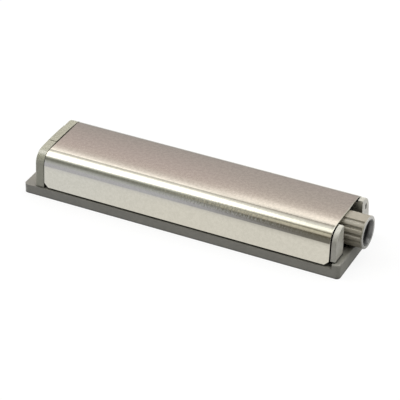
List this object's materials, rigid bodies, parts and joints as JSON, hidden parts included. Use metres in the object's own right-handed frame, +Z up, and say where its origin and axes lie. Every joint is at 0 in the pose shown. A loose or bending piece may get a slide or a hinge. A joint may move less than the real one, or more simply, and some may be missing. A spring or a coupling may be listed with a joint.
{
  "type": "touch latch",
  "caption": "Surface-mounted touch latch with a magnetic push plunger, folded steel cover and moulded mounting plate.",
  "frame": {"origin": "centre of the mounting face, the underside of the base plate", "axes": "+X the way the plunger comes out, +Z up from the mounting face, +Y across the latch"},
  "size_m": [0.0828, 0.0206, 0.0114],
  "materials": {
    "base_plastic": "fine matt moulded plastic, warm grey",
    "housing_plastic": "smooth moulded plastic, light greenish grey",
    "plunger_plastic": "smooth moulded plastic, light greenish grey",
    "cover_steel": "rolled stainless sheet, fine grain",
    "plain_steel": "plain steel",
    "spring_steel": "drawn wire and strip",
    "magnet_ferrite": "dull dark magnet"
  },
  "bodies": {
    "latch_body": {"base_plate": "base_plastic", "steel_cover": "cover_steel", "latch_housing": "housing_plastic", "drive_spring": "spring_steel", "spring_guide_rod": "plain_steel", "cam_follower": "spring_steel", "follower_leaf": "spring_steel"},
    "plunger": {"plunger_sleeve": "plunger_plastic", "magnet": "magnet_ferrite", "pole_plate": "plain_steel", "cam_slider": "plunger_plastic"}
  },
  "joints": [
    {"name": "plunger_slide", "type": "slide", "parent": "latch_body", "child": "plunger", "axis": [1, 0, 0], "range_m": [-0.0022, 0.016], "deforming": ["drive_spring", "cam_follower"]}
  ]
}
